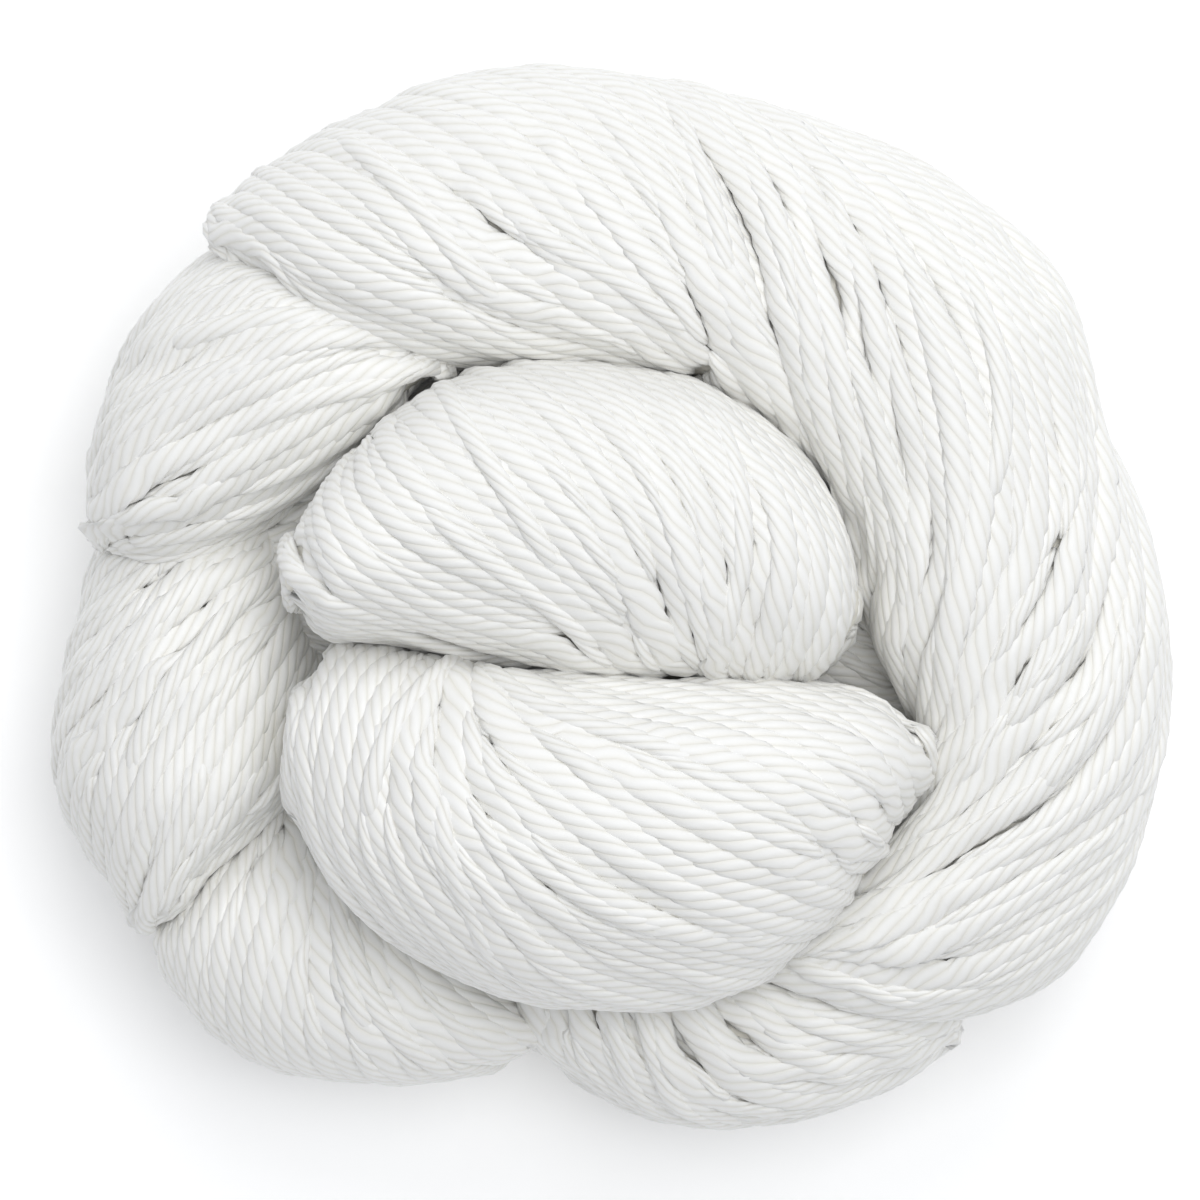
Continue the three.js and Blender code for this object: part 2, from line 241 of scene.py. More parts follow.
def rounded(wave):
    """The sine or cosine of an oval's angle, with the power that makes it a little boxy."""
    return np.sign(wave) * np.abs(wave) ** (2 / SECTION_EXPONENT)


def skin(rows, cap_lengths, inset=0.0):
    """Points (along, around, xyz): centre + side boxcos(angle) scale + up boxsin(angle) rise scale.
    The angle is 0 at the left edge and a quarter turn at the top. Past each end the scale falls as
    a cosine while the centre moves on as a sine. `inset` shrinks the section and the caps."""
    table = smooth_rows([row[:7] for row in rows], STATIONS_PER_ROW)
    centre = (table[:, 0:3] + table[:, 3:6]) / 2
    side = table[:, 0:3] - centre
    half_width = np.linalg.norm(side, axis=1, keepdims=True)
    side *= (half_width - inset) / half_width
    rise = table[:, 6:7] / 2 - inset
    quarter = np.linspace(0, math.pi / 2, CAP_STATIONS + 1)[1:]
    lead, tail = unit(centre[0] - centre[1]), unit(centre[-1] - centre[-2])
    reach = [length - CAP_INSET * inset for length in cap_lengths]
    before = centre[0] + lead * np.sin(quarter[::-1, None]) * reach[0]
    after = centre[-1] + tail * np.sin(quarter[:, None]) * reach[1]
    scale = np.concatenate([np.cos(quarter[::-1]), np.ones(len(centre)), np.cos(quarter)])
    centre = np.concatenate([before, centre, after])
    station = np.clip(np.arange(len(centre)) - CAP_STATIONS, 0, len(side) - 1)
    angle = 2 * math.pi * np.arange(AROUND) / AROUND
    across = scale[:, None, None] * rounded(np.cos(angle))[None, :, None]
    upward = scale[:, None, None] * rounded(np.sin(angle))[None, :, None]
    up = np.array([0.0, 0.0, 1.0])
    return centre[:, None] + side[station][:, None] * across + up * rise[station][:, None] * upward


def slopes(points):
    """How far the skin moves per step along and per step around, and its outward direction."""
    along = np.gradient(points, axis=0)
    around = (np.roll(points, -1, axis=1) - np.roll(points, 1, axis=1)) / 2
    return along, around, unit(np.cross(around, along))


skins = {name: skin(rows, caps) for name, (rows, caps) in BUNDLES.items()}
low = np.min([points.min((0, 1)) for points in skins.values()], axis=0)
high = np.max([points.max((0, 1)) for points in skins.values()], axis=0)
cad_centre = np.array([cad_low[k] + cad_high[k] for k in range(3)]) / 2 / MM
SHIFT = (cad_centre - (low + high) / 2) * np.array([1, 1, 0])
skins = {name: points + SHIFT for name, points in skins.items()}
print("shift into the frame, mm:", SHIFT.round(2), "grid points:",
      sum(points.shape[0] * points.shape[1] for points in skins.values()))

# %% [markdown]
# ## How deep each point of a skin is buried
# The bundles run into each other, and a strand that is buried is not worth making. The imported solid
# is the outside of all bundles together, so the distance from a skin's point to that solid's
# surface is how deep the point lies in the heap.

# %% Depth in the heap
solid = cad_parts["skein"].data
corners = np.empty(len(solid.vertices) * 3)
solid.vertices.foreach_get("co", corners)
solid.calc_loop_triangles()
triangles = np.empty(len(solid.loop_triangles) * 3, int)
solid.loop_triangles.foreach_get("vertices", triangles)
tree = BVHTree.FromPolygons((corners.reshape(-1, 3) / MM).tolist(),
                            triangles.reshape(-1, 3).tolist())


def buried(points):
    """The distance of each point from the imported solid's surface, in mm."""
    flat = points.reshape(-1, 3).tolist()
    return np.array([tree.find_nearest(point)[3] for point in flat]).reshape(points.shape[:-1])


depths = {name: buried(points) for name, points in skins.items()}
print("share of the skins that shows:",
      round(float(np.mean([(depth < 1).mean() for depth in depths.values()])), 2),
      "seconds:", round(time.perf_counter() - started, 1))

# %% [markdown]
# ## Which way the strands run
# Every strand winds round its bundle, at a slant that was read off the real skein from above. On the
# slope of a bundle that slant looks different from what it is, because the skin tilts away, so the
# direction seen from above is laid on the skin first. Under a bundle, where nobody has looked, the
# strands keep the mean slant of its two edges. A little smooth noise keeps the strands from being
# combed too neatly.

# %% The slant on the skin
EDGE_AT = 0.8  # the edge directions hold this far out, as a share of the half width
STEEPEST_TILT = 0.5  # a skin that faces up less than this counts as facing up this much
PLAIN_SLANT = math.radians(26)  # on the bundles that lie below
UNDER_SLANT = (math.radians(15), math.radians(50))  # limits under the other bundles
WANDER = math.radians(4)  # how far the noise turns the strands
WANDER_LENGTH = 26.0  # mm


def ripple(points, length, seed, count=7):
    """Smooth noise of about -1 to 1: the sum of sines of k.p + phase in random directions k."""
    rng = np.random.default_rng(seed)
    heading = unit(rng.normal(size=(count, 3)))
    number = 2 * math.pi / (length * rng.uniform(0.7, 1.5, count))
    phase = rng.uniform(0, 2 * math.pi, count)
    return np.sin(points @ (heading * number[:, None]).T + phase).sum(-1) / math.sqrt(count)


def frames(points):
    """Per grid point, three unit vectors: the bundle's run on its skin, the way across, outwards."""
    along, _, outward = slopes(points)
    run = unit(along)
    return run, np.cross(run, outward), outward


def compass_angle(rows, points, turn):
    """The angle from the bundle's run to the strands as they show from above, per grid point.
    The direction from above is a parabola in the place across, through the three readings. A level
    step h in it is on the skin when it also rises by -h.n / nz, where n is the way outwards, and
    the angle is that of the step between the run and the way across."""
    compass = np.radians(smooth_rows(rows[:, 7:10], STATIONS_PER_ROW))
    compass = np.pad(compass, ((CAP_STATIONS, CAP_STATIONS), (0, 0)), mode="edge")
    left, top, right = (compass[:, None, k] for k in range(3))
    across = np.clip(np.cos(turn) / EDGE_AT, -1, 1)
    heading = top + across * (left - right) / 2 + across**2 * ((left + right) / 2 - top)
    run, sideways, outward = frames(points)
    level = np.stack([np.cos(heading), np.sin(heading)], -1)
    rise = -(level * outward[..., :2]).sum(-1) / np.maximum(outward[..., 2], STEEPEST_TILT)
    step = np.concatenate([level, rise[..., None]], -1)
    return np.arctan2((step * sideways).sum(-1), (step * run).sum(-1))


def slant(name, points, seed):
    """The angle from the bundle's run to the strands, clockwise seen from outside, per grid point.
    Below, it is left cos^2 on the left half, right cos^2 on the right half, plus middle sin^2."""
    rows = np.array(BUNDLES[name][0], float)
    wander = WANDER * ripple(points, WANDER_LENGTH, seed)
    if rows.shape[1] < 10:
        return PLAIN_SLANT + wander
    turn = 2 * math.pi * np.arange(AROUND)[None] / AROUND
    above = compass_angle(rows, points, turn)
    left_edge, right_edge = above[:, :1], above[:, AROUND // 2:AROUND // 2 + 1]
    middle = np.clip((left_edge + right_edge) / 2, *UNDER_SLANT)
    cosine, sine = np.cos(turn), np.sin(turn)
    below = (left_edge * np.maximum(cosine, 0)**2 + right_edge * np.maximum(-cosine, 0)**2
             + middle * sine**2)
    return np.where(sine >= 0, above, below) + wander


# %% [markdown]
# ## Following the slant
# A strand could be drawn as a curve by hand, but there are hundreds. Instead a walker starts at a
# point of the skin and takes small steps along the slant, forwards and backwards, and thousands of
# walkers go at once.

# %% Walking on the skin
STEP = 1.25  # mm
SMALLEST_CELL = 1e-3  # mm^4, in the tips of the rounded ends
FASTEST = 8.0  # grid steps per mm
LAST_CELL = 1.001  # grid stations before the end, where a walker stops


def at(grid, places):
    """The grid's value at places (u, v), straight-line blended along and around."""
    u = np.clip(places[..., 0], 0, grid.shape[0] - LAST_CELL)
    v = places[..., 1]
    i, j = u.astype(int), np.floor(v).astype(int)
    f = (u - i).reshape(u.shape + (1,) * (grid.ndim - 2))
    g = (v - j).reshape(f.shape)
    j0, j1 = j % AROUND, (j + 1) % AROUND
    near = grid[i, j0] * (1 - g) + grid[i, j1] * g
    far = grid[i + 1, j0] * (1 - g) + grid[i + 1, j1] * g
    return near * (1 - f) + far * f


def in_grid(step, along, around):
    """A step on the skin as parts (du, dv) of the grid's own steps a and b, which may be skewed:
    du = (s.a b.b - s.b a.b) / (a.a b.b - (a.b)^2), and dv with a and b swapped."""
    aa, bb, ab = (along**2).sum(-1), (around**2).sum(-1), (along * around).sum(-1)
    sa, sb = (step * along).sum(-1), (step * around).sum(-1)
    full = np.maximum(aa * bb - ab**2, SMALLEST_CELL)
    return np.stack([sa * bb - sb * ab, sb * aa - sa * ab], -1) / full[..., None]


def rates(points, angle):
    """How far a strand moves over the grid per mm: cos(angle) run + sin(angle) sideways, in (u, v)."""
    along, around, _ = slopes(points)
    run, sideways, _ = frames(points)
    step = np.cos(angle)[..., None] * run + np.sin(angle)[..., None] * sideways
    return np.clip(in_grid(step, along, around), -FASTEST, FASTEST)


def walk(rate, seeds, step, count):
    """Midpoint steps: half a step with the rate here, then the whole step with the rate there."""
    track = [seeds]
    for _ in range(count):
        half_way = track[-1] + at(rate, track[-1]) * step / 2
        track.append(track[-1] + at(rate, half_way) * step)
    return np.stack(track, 1)


def both_ways(rate, seeds, count):
    """Tracks (seed, step, (u, v)) that pass through their seeds half way."""
    back, ahead = (walk(rate, seeds, step, count) for step in (-STEP, STEP))
    return np.concatenate([back[:, :0:-1], ahead], 1)


# %% [markdown]
# ## Ridges and creases
# A bundle isn't smooth. Its strands bunch into low ridges that follow them, and where it bends or is
# squeezed it creases. The ridges could be painted as bumps, but then the strands on them would stay
# level, so the skin itself is moved before anything is laid on it. Noise that is averaged along the
# strands gives the ridges, and the deepest creases are drawn one by one where the real skein has
# them, in tenths of a millimetre from the top left corner of the view from above.

# %% Ridges
RIDGE_WIDTH = 4.6  # mm
RIDGE_REACH = 16  # steps each way over which the noise is averaged
RIDGE_WAVES = 40  # sines in the noise
RIDGE_LIMITS = (-1.5, 1.1)  # furrows are deeper than ridges are high
RIDGE_SEED = 300
RIDGES = {  # mm: how high they stand at a bundle's start and at its end
    "outer_turn": (0.08, 0.4),
    "upper_left_fan": (0.3, 0.45),
    "left_fan": (0.25, 0.35),
    "lower_left_fan": (0.15, 0.1),
    "bottom_swag": (0.25, 0.35),
    "upper_middle": (0.08, 0.12),
    "lower_middle": (0.08, 0.25),
}
OTHER_RIDGES = (0.25, 0.25)


def ridges(name, points, rate, seed):
    """How far the skin sinks, in mm: minus the height times the noise, averaged along the strands."""
    shape = points.shape[:2]
    nodes = np.indices(shape).reshape(2, -1).T.astype(float)
    tracks = both_ways(rate, nodes, RIDGE_REACH)
    streak = np.mean([ripple(at(points, tracks[:, k]), RIDGE_WIDTH, seed, RIDGE_WAVES)
                      for k in range(0, tracks.shape[1], 2)], axis=0)
    height = np.linspace(*RIDGES.get(name, OTHER_RIDGES), shape[0])[:, None]
    return -height * np.clip(streak / streak.std(), *RIDGE_LIMITS).reshape(shape)


# %% Creases
CREASES = {  # depth and half width in mm, and the points that the crease passes
    "outer_turn": [
        (1.5, 1.0, [(650, 84), (708, 145), (735, 195), (755, 250), (768, 320), (782, 400)]),
        (1.7, 1.1, [(727, 106), (767, 153), (800, 205), (835, 275), (860, 340), (880, 400),
                    (897, 467), (908, 520)]),
        (1.0, 0.9, [(770, 130), (827, 180), (855, 225), (872, 270), (900, 330), (930, 420)]),
        (1.6, 1.1, [(800, 124), (850, 155), (895, 200), (930, 260), (955, 310), (975, 350)]),
        (1.2, 1.0, [(1015, 330), (1040, 385), (1057, 440), (1062, 510), (1055, 580), (1030, 640),
                    (1000, 690), (950, 745)]),
        (2.0, 1.3, [(1105, 480), (1115, 560), (1112, 620), (1095, 660), (1060, 715), (1010, 765),
                    (960, 795), (920, 820)]),
        (1.6, 1.1, [(1150, 640), (1140, 700), (1110, 755), (1060, 800), (1010, 835), (950, 862),
                    (890, 895)]),
        (1.3, 1.1, [(1130, 790), (1085, 840), (1030, 875), (970, 905), (900, 935), (830, 975)]),
        (1.2, 0.9, [(1110, 850), (1060, 905), (1000, 945), (930, 975), (860, 990), (800, 1000)]),
        (1.3, 1.0, [(856, 500), (858, 560), (856, 620)]),
        (1.2, 1.0, [(905, 430), (925, 520), (928, 600), (922, 660), (935, 740)]),
        (0.9, 0.9, [(885, 480), (893, 560), (898, 640)]),
        (1.3, 0.9, [(1000, 232), (1030, 262), (1052, 308)]),
        (0.9, 0.9, [(450, 158), (463, 200)]),
        (0.9, 0.9, [(480, 202), (514, 254)]),
        (0.9, 0.9, [(516, 120), (548, 148)]),
        (0.9, 0.9, [(566, 158), (600, 180)]),
    ],
    "upper_left_fan": [
        (1.0, 1.0, [(95, 372), (200, 362), (285, 337)]),
        (1.2, 1.0, [(165, 445), (240, 420), (320, 393), (375, 375)]),
        (1.3, 1.0, [(130, 500), (210, 460), (290, 425), (360, 400)]),
        (1.3, 1.0, [(200, 510), (260, 480), (320, 445), (375, 410)]),
    ],
    "left_fan": [
        (1.7, 1.2, [(220, 585), (190, 625), (160, 655)]),
        (1.0, 0.9, [(245, 590), (232, 640), (215, 680)]),
        (0.9, 0.9, [(267, 820), (220, 860), (180, 913), (153, 947)]),
    ],
    "upper_middle": [
        (0.9, 0.9, [(640, 400), (673, 467), (707, 547), (733, 600)]),
        (1.1, 0.9, [(690, 413), (705, 460), (725, 520), (738, 600), (750, 650)]),
        (0.9, 0.9, [(747, 427), (757, 500), (757, 580), (757, 655)]),
        (0.9, 0.9, [(613, 500), (640, 555), (667, 610), (700, 665)]),
        (1.3, 1.1, [(283, 520), (300, 560), (318, 600)]),
    ],
    "lower_middle": [
        (1.0, 1.1, [(447, 680), (434, 725), (430, 780)]),
        (1.0, 0.9, [(600, 780), (680, 830), (740, 865), (800, 900)]),
        (1.0, 0.9, [(553, 847), (613, 883), (680, 923), (753, 955)]),
        (1.2, 1.0, [(507, 905), (573, 945), (640, 968), (700, 985)]),
        (1.0, 0.9, [(425, 865), (450, 905), (485, 940)]),
    ],
    "bottom_swag": [
        (1.1, 0.9, [(620, 1010), (640, 1060), (660, 1090)]),
        (1.1, 0.9, [(660, 1005), (687, 1053), (712, 1090)]),
        (1.5, 1.0, [(713, 1007), (740, 1040), (780, 1073), (833, 1093)]),
        (1.5, 1.0, [(760, 1000), (800, 1033), (840, 1055), (890, 1065)]),
        (1.3, 1.0, [(500, 985), (503, 1010), (510, 1030)]),
        (1.3, 1.0, [(545, 995), (550, 1015), (556, 1035)]),
    ],
}
VIEW_SCALE = 10  # the creases' units per millimetre
VIEW_SIZE = 1200  # in the same units
VIEW_CENTRE = np.array([-1.0, -0.25])  # mm
VIEW_HEIGHT, VIEW_FROM = 22.0, 1500.0  # mm: where the view is full size, and how far off the eye is
CREASE_SHARE = 0.75  # eases all depths at once
CREASE_SPREAD = 1.4  # and widens all creases
CREASED_FROM = 0.2  # a crease only shows where the skin faces up this much


def seen(points):
    """Where each point shows in the view: centre + (xy - centre) far / (far - (z - full height))."""
    scale = VIEW_FROM / (VIEW_FROM - (points[..., 2:] - VIEW_HEIGHT))
    return VIEW_CENTRE + (points[..., :2] - VIEW_CENTRE) * scale


def crease(flat, depth, half_width, path):
    """depth exp(-(d/w)^2) sqrt(4 s (1-s)), where d is the distance to the path and s the share of
    the path that lies behind its nearest point."""
    path = np.array(path, float)
    path = np.stack([path[:, 0] - VIEW_SIZE / 2, VIEW_SIZE / 2 - path[:, 1]], -1)
    path = path / VIEW_SCALE + VIEW_CENTRE
    start, leg = path[:-1], np.diff(path, axis=0)
    length = np.linalg.norm(leg, axis=1)
    gone = np.concatenate([[0], np.cumsum(length)])
    offset = flat[:, None] - start[None]
    t = np.clip((offset * leg).sum(-1) / length**2, 0, 1)
    distance = np.linalg.norm(offset - t[..., None] * leg, axis=-1)
    nearest = distance.argmin(1)
    every = np.arange(len(flat))
    share = (gone[nearest] + t[every, nearest] * length[nearest]) / gone[-1]
    dip = np.exp(-(distance[every, nearest] / (CREASE_SPREAD * half_width))**2)
    return CREASE_SHARE * depth * dip * np.sqrt(np.maximum(4 * share * (1 - share), 0))


def creases(name, points, outward):
    """The sum of a bundle's creases, in mm, where its skin faces up."""
    flat = seen(points).reshape(-1, 2)
    total = sum((crease(flat, *row) for row in CREASES.get(name, [])), np.zeros(len(flat)))
    return total.reshape(points.shape[:2]) * (outward[..., 2] > CREASED_FROM)


angles, reliefs = {}, {}
for number, (name, points) in enumerate(skins.items()):
    angles[name] = slant(name, points, number)
    outward = slopes(points)[2]
    reliefs[name] = (ridges(name, points, rates(points, angles[name]), RIDGE_SEED + number)
                     + creases(name, points, outward))
    skins[name] = points - outward * reliefs[name][..., None]
print(sum(map(len, CREASES.values())), "creases; the skins sink by up to",
      round(max(relief.max() for relief in reliefs.values()), 2), "mm; seconds:",
      round(time.perf_counter() - started, 1))

# %% [markdown]
# ## Packing the strands
# Thousands of walkers go over each skin, and of their tracks only ones that lie a strand's width
# from their neighbours are kept. So the strands pack side by side, and end where others crowd them
# out, as wound yarn does.

# %% Choosing the tracks
YARN_WIDTH = 2.3  # mm across, a little less in height
PITCH = 1.65  # mm between neighbours
REACH = 60  # steps each way
SEED_RINGS = 5  # grid stations between two rings of starting points
SEEDS_AROUND = 192
SEED_DEPTH = 2.2  # mm: a strand starts no deeper in the heap than this
LINE_DEPTH = 3.2  # mm: and runs no deeper than this
TIP = 1.3  # grid stations at each end that stay bare
FAR = 1e3  # mm: how far off the nearest strand is before there is one


def tracks_from_seeds(points, rate, depth):
    """Tracks from every seed that is not too deep, both ways from the seed."""
    u, v = np.meshgrid(np.arange(1, len(points) - 1, SEED_RINGS).astype(float),
                       np.arange(SEEDS_AROUND) * AROUND / SEEDS_AROUND, indexing="ij")
    seeds = np.stack([u.ravel(), v.ravel()], -1)
    return both_ways(rate, seeds[at(depth, seeds) < SEED_DEPTH], REACH)


def squares(nodes, line):
    """Squared distance of each node from each of a line's points, by |a|^2 + |b|^2 - 2 a.b."""
    return (nodes**2).sum(-1)[:, None] + (line**2).sum(-1)[None] - 2 * nodes @ line.T


def spread(nodes, line):
    """Distance of each node from the nearest of a line's points."""
    return np.sqrt(np.maximum(squares(nodes, line).min(1), 0))


def inside(points, track, margin=TIP):
    """True where a track keeps clear of both ends of its skin."""
    return (track[:, 0] > margin) & (track[:, 0] < len(points) - 1 - margin)


def stretch(good, middle):
    """First and one past last of the unbroken run of True around the middle."""
    bad = np.flatnonzero(~good)
    before, after = bad[bad < middle], bad[bad > middle]
    return (before[-1] + 1 if before.size else 0), (after[0] if after.size else len(good))


def choose(points, depth, walks, field, nearest, crowded, shortest):
    """Takes the seed that is closest to the strands laid so far, but not closer than `nearest`, and
    keeps its track as far as nothing is closer than `crowded`. `field` is the grid of distances."""
    nodes = points.reshape(-1, 3)
    seeds = walks[:, REACH]
    waiting = np.ones(len(walks), bool)
    chosen = []
    while True:
        gap = at(field, seeds)
        open_seeds = waiting & (gap >= nearest)
        if not open_seeds.any():
            return chosen
        pick = int(np.argmin(np.where(open_seeds, gap, np.inf)))
        waiting[pick] = False
        track = walks[pick]
        good = (inside(points, track) & (at(depth, track) < LINE_DEPTH)
                & (at(field, track) >= crowded))
        first, end = stretch(good, REACH)
        if (end - first) * STEP < shortest or not good[REACH]:
            continue
        chosen.append(track[first:end])
        field[:] = np.minimum(field, spread(nodes, at(points, chosen[-1])).reshape(field.shape))


# %% [markdown]
# ## Evening out the gaps
# Yarn is soft, so strands that have room spread into it, and strands in a crowd get narrow. Each
# point of a strand looks for its nearest neighbour on both sides, moves towards the middle between
# them, and takes the width that they leave.

# %% Moving sideways
ROUNDS = 8
FADE = 11.0  # mm over which a strand gives way to its neighbours at its ends
END_SHARE = 0.2  # how much room an end wants, as a share of a whole strand's
NARROWEST, WIDEST = 0.55, 1.8  # widths of a strand, in pitches
LARGEST_MOVE = 0.6  # mm in one round
LARGEST_SHIFT = 3.0  # grid steps in one round
SHIFT_SHARE = 0.8  # of a move that is made in one round
SIGHT = 2.6  # how far a strand looks for a neighbour, in pitches
ABREAST = 0.75  # how far ahead or behind a neighbour may be, in steps
AT_ONCE = 800  # points that are compared with all others at a time
SMOOTH_OVER = 7  # points of a strand that move together


def smooth_along(values, sizes):
    """The running mean of a few points within each strand; the ends repeat their last value."""
    half = SMOOTH_OVER // 2
    kernel = np.full(SMOOTH_OVER, 1 / SMOOTH_OVER)
    parts = np.split(values, np.cumsum(sizes)[:-1])
    return np.concatenate([np.convolve(np.pad(part, half, mode="edge"), kernel, "valid")
                           for part in parts])


def neighbours(place, run, side, up, owner):
    """For each point, the distance to the next strand on its left and on its right, and which point
    that is: among points of other strands abreast of it, the least offset along its side, per
    sign. Where there is none, the distance is infinite."""
    found = []
    for start in range(0, len(place), AT_ONCE):
        rows = slice(start, start + AT_ONCE)

        def offset(axis):
            return axis[rows] @ place.T - (axis[rows] * place[rows]).sum(-1)[:, None]

        across = offset(side)
        beside = ((np.abs(offset(run)) < ABREAST * STEP) & (np.abs(offset(up)) < YARN_WIDTH)
                  & (owner[rows, None] != owner[None]) & (np.abs(across) < SIGHT * PITCH))
        for gaps in (np.where(beside & (across < 0), -across, np.inf),
                     np.where(beside & (across > 0), across, np.inf)):
            who = gaps.argmin(1)
            found.append((gaps[np.arange(len(who)), who], who))
    return tuple(tuple(np.concatenate([part[k] for part in found[turn::2]]) for k in (0, 1))
                 for turn in (0, 1))


def presence(sizes):
    """1 along a strand, falling to END_SHARE within FADE mm of each end, as a raised cosine."""
    shares = []
    for size in sizes:
        along = np.arange(size) * STEP
        inward = np.clip(np.minimum(along, along[::-1]) / FADE, 0, 1)
        shares.append(END_SHARE + (1 - END_SHARE) * (0.5 - 0.5 * np.cos(math.pi * inward)))
    return np.concatenate(shares)


def even_out(points, angle, chosen):
    """Returns the tracks, moved sideways, and their widths in pitches. Two strands want to be as
    far apart as the mean of their shares, in pitches, so the neighbours of an end close over it."""
    along, around, _ = slopes(points)
    run, sideways, outward = frames(points)
    sizes = [len(track) for track in chosen]
    owner = np.repeat(np.arange(len(chosen)), sizes)
    track, share = np.concatenate(chosen), presence(sizes)
    for _ in range(ROUNDS):
        place, up, lean = at(points, track), unit(at(outward, track)), at(angle, track)[:, None]
        heading = unit(np.cos(lean) * at(run, track) + np.sin(lean) * at(sideways, track))
        side = np.cross(heading, up)
        pull, width = [], 0
        for gap, who in neighbours(*(a.astype(np.float32) for a in (place, heading, side, up)),
                                   owner):
            alone = ~np.isfinite(gap)
            wanted = PITCH * np.where(alone, share, (share + share[who]) / 2)
            gap = np.where(alone, wanted, gap)
            pull.append(gap - wanted)
            width = width + gap * np.where(alone, 0.5, share / (share + share[who]))
        move = smooth_along(np.clip((pull[1] - pull[0]) / 2, -LARGEST_MOVE, LARGEST_MOVE), sizes)
        shift = in_grid(side * move[:, None], at(along, track), at(around, track))
        track = track + SHIFT_SHARE * np.clip(shift, -LARGEST_SHIFT, LARGEST_SHIFT)
    track[:, 0] = np.clip(track[:, 0], TIP, len(points) - 1 - TIP)
    width = smooth_along(np.clip(width / PITCH, NARROWEST, WIDEST), sizes)
    cuts = np.cumsum(sizes)[:-1]
    return np.split(track, cuts), np.split(width, cuts)


# %% Patches and stray strands
PATCH_REACH = 6  # steps each way
BARE = 0.0  # mm: the widest hole that may stay
MOST_PATCHES = 150  # on one bundle
STRAYS = {"outer_turn": 7, "upper_left_fan": 3, "left_fan": 3, "lower_left_fan": 2, "bottom_swag": 3,
          "upper_middle": 4, "lower_middle": 5}
STRAY_SEED = 500
STRAY_START = 0.3  # mm: a stray starts no deeper than this
STRAY_DEPTH = 1.0  # mm: and runs no deeper than this
STRAY_UP = 0.6  # where it starts, the skin faces up this much
STRAY_TURN = (0.1, 0.22)  # radians
STRAY_LENGTH = (9, 16)  # steps each way
STRAY_MARGIN = 2  # grid stations at each end
SHORTEST_STRAY = 8  # points


def bareness(nodes, lines, halves):
    """How far each node is from the nearest strand's edge: the least distance minus half width."""
    bare = np.full(len(nodes), FAR)
    for line, half in zip(lines, halves):
        distance = np.sqrt(np.maximum(squares(nodes, line), 0))
        bare = np.minimum(bare, (distance - half[None]).min(1))
    return bare


def patches(points, depth, rate, bare):
    """Short strands over the bare places, the barest first, until no hole is wide enough to show."""
    nodes = points.reshape(-1, 3)
    bare = np.where(depth.ravel() < SEED_DEPTH, bare, -np.inf)
    bare[:AROUND] = bare[-AROUND:] = -np.inf
    found = []
    while bare.max() > BARE and len(found) < MOST_PATCHES:
        barest = int(bare.argmax())
        seed = np.array([divmod(barest, AROUND)], float)
        track = both_ways(rate, seed, PATCH_REACH)[0]
        first, end = stretch(inside(points, track), PATCH_REACH)
        bare = np.minimum(bare, spread(nodes, at(points, track[first:end])) - YARN_WIDTH / 2)
        bare[barest] = -np.inf
        if end - first > 2:
            found.append(track[first:end])
    return found


def strays(name, points, depth, angle, seed):
    """A few strands that lie across the others, a little higher, at a small angle to them."""
    rng = np.random.default_rng(STRAY_SEED + seed)
    outward = slopes(points)[2]
    open_nodes = np.argwhere((depth < STRAY_START) & (outward[..., 2] > STRAY_UP))
    found = []
    for _ in range(STRAYS.get(name, 0)):
        start = open_nodes[rng.integers(len(open_nodes))][None].astype(float)
        turn = rng.uniform(*STRAY_TURN) * rng.choice([-1, 1])
        reach = int(rng.integers(*STRAY_LENGTH))
        track = both_ways(rates(points, angle + turn), start, reach)[0]
        good = inside(points, track, STRAY_MARGIN) & (at(depth, track) < STRAY_DEPTH)
        first, end = stretch(good, reach)
        if end - first > SHORTEST_STRAY:
            found.append(track[first:end])
    return found


# %% Laying all strands of a bundle
SHORTEST = (24, 8)  # mm: long strands are laid first, and then shorter ones
CROWDING = 0.8  # a strand ends where its neighbour is nearer than this share of the pitch
GAP_SHORTEST = 5  # mm: the same for the strands that fill gaps
GAP_NEAREST, GAP_CROWDING = 0.65, 0.4  # pitches
GAP_DROP = 0.7  # mm: how much deeper they lie
GAP_WIDTH = 1.3  # and how wide they are, in pitches
STRAY_LIFT = 0.35  # mm: how much higher the stray ones lie
SHORTEST_STEP, LONGEST_STEP = 0.4, 1.8  # steps: a strand is cut where its points bunch or jump
SHARPEST_TURN = 0.7  # the cosine: and where it turns more than this
FEWEST_POINTS = 4


def steady(points, track, width, drop):
    """A strand's stretch around its middle, without a step too long or short or a turn too sharp."""
    step = np.diff(at(points, track), axis=0)
    length, way = np.linalg.norm(step, axis=1), unit(step)
    good = np.ones(len(track), bool)
    good[1:] &= (length > SHORTEST_STEP * STEP) & (length < LONGEST_STEP * STEP)
    good[1:-1] &= (way[1:] * way[:-1]).sum(-1) > SHARPEST_TURN
    first, end = stretch(good, len(track) // 2)
    return track[first:end], width[first:end], drop


